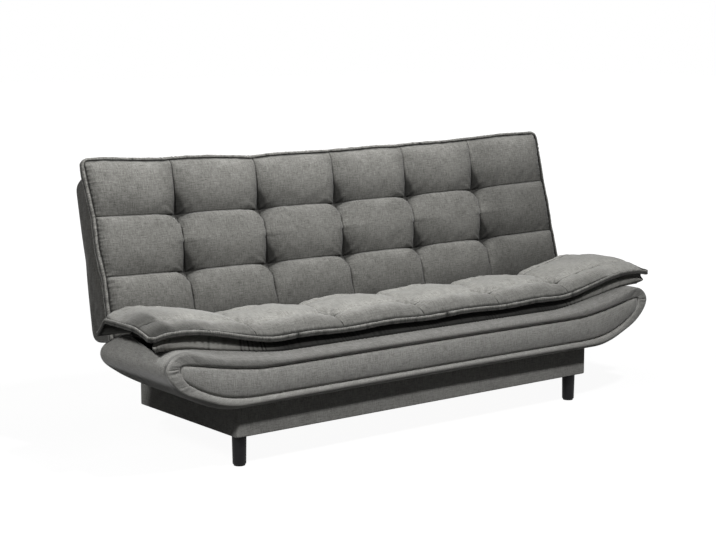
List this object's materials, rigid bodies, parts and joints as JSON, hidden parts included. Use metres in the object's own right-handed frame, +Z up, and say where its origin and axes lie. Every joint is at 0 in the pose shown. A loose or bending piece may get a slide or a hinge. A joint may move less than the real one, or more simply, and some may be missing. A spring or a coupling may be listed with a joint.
{
  "type": "click clack sofa bed",
  "caption": "Armless click clack sofa bed: boat-shaped upholstered seat on a low bedding box, tufted back that clicks down flat, seat that lifts, black round legs.",
  "frame": {"origin": "on the floor, under the middle of the bounding box", "axes": "+X along the sofa to the right of someone who faces its front, +Y from the front to the back, +Z up"},
  "size_m": [2.0968, 0.6322, 0.9115],
  "materials": {
    "cover_fabric": "matt short-pile woven cover in plain warm grey",
    "piping_fabric": "the same cover sewn round a cord",
    "frame_timber": "planed softwood, unfinished",
    "box_board": "thin hardboard, smooth side up",
    "black_leg": "satin black powder coat",
    "zinc_steel": "bright zinc plate",
    "glide_rubber": "matt black"
  },
  "bodies": {
    "root": {"leg_front_left": "black_leg", "leg_glide_front_left": "glide_rubber", "leg_plate_front_left": "zinc_steel", "leg_block_front_left": "frame_timber", "leg_front_right": "black_leg", "leg_glide_front_right": "glide_rubber", "leg_plate_front_right": "zinc_steel", "leg_block_front_right": "frame_timber", "leg_rear_left": "black_leg", "leg_glide_rear_left": "glide_rubber", "leg_plate_rear_left": "zinc_steel", "leg_block_rear_left": "frame_timber", "leg_rear_right": "black_leg", "leg_glide_rear_right": "glide_rubber", "leg_plate_rear_right": "zinc_steel", "leg_block_rear_right": "frame_timber", "plinth_front_board": "cover_fabric", "plinth_rear_board": "cover_fabric", "plinth_end_board_right": "cover_fabric", "plinth_end_board_left": "cover_fabric", "plinth_floor": "box_board", "hinge_plate_right": "zinc_steel", "hinge_plate_left": "zinc_steel", "seat_pivot_pin_right": "zinc_steel", "seat_pivot_pin_left": "zinc_steel", "back_pivot_pin_right": "zinc_steel", "back_pivot_pin_left": "zinc_steel", "spring_anchor_right": "zinc_steel", "spring_anchor_left": "zinc_steel", "lift_spring_right": "zinc_steel", "lift_spring_left": "zinc_steel"},
    "seat": {"seat_body": "cover_fabric", "seat_front_inset": "cover_fabric", "seat_topper": "cover_fabric", "seat_topper_piping": "piping_fabric", "seat_front_rail": "frame_timber", "seat_rear_rail": "frame_timber", "seat_end_rail_right": "frame_timber", "seat_end_rail_left": "frame_timber", "seat_slat_1": "frame_timber", "seat_slat_2": "frame_timber", "seat_slat_3": "frame_timber", "seat_arm_right": "zinc_steel", "seat_arm_left": "zinc_steel"},
    "back": {"back_pad": "cover_fabric", "back_piping": "piping_fabric", "back_shell": "cover_fabric", "back_bottom_rail": "frame_timber", "back_top_rail": "frame_timber", "back_arm_stile_right": "frame_timber", "back_arm_stile_left": "frame_timber", "back_end_stile_right": "frame_timber", "back_end_stile_left": "frame_timber", "back_arm_right": "zinc_steel", "back_arm_left": "zinc_steel"},
    "pawl_left": {"pawl_left": "zinc_steel"},
    "pawl_right": {"pawl_right": "zinc_steel"}
  },
  "joints": [
    {"name": "seat_lift", "type": "hinge", "parent": "root", "child": "seat", "pos_m": [0, 0.03993, 0.374], "axis": [-1, 0, 0], "range_deg": [0, 36], "deforming": ["lift_spring_left", "lift_spring_right"]},
    {"name": "back_recline", "type": "hinge", "parent": "root", "child": "back", "pos_m": [0, 0.14093, 0.4], "axis": [-1, 0, 0], "range_deg": [0, 74]},
    {"name": "pawl_left", "type": "hinge", "parent": "root", "child": "pawl_left", "pos_m": [-0.7207, 0.17674, 0.35803], "axis": [-1, 0, 0], "range_deg": [-12, 1], "stiffness_Nm_per_rad": 0.5},
    {"name": "pawl_right", "type": "hinge", "parent": "root", "child": "pawl_right", "pos_m": [0.7207, 0.17674, 0.35803], "axis": [-1, 0, 0], "range_deg": [-12, 1], "stiffness_Nm_per_rad": 0.5}
  ],
  "couplings": [
    {"joint": "pawl_right", "follows": "pawl_left", "ratio": 1}
  ]
}
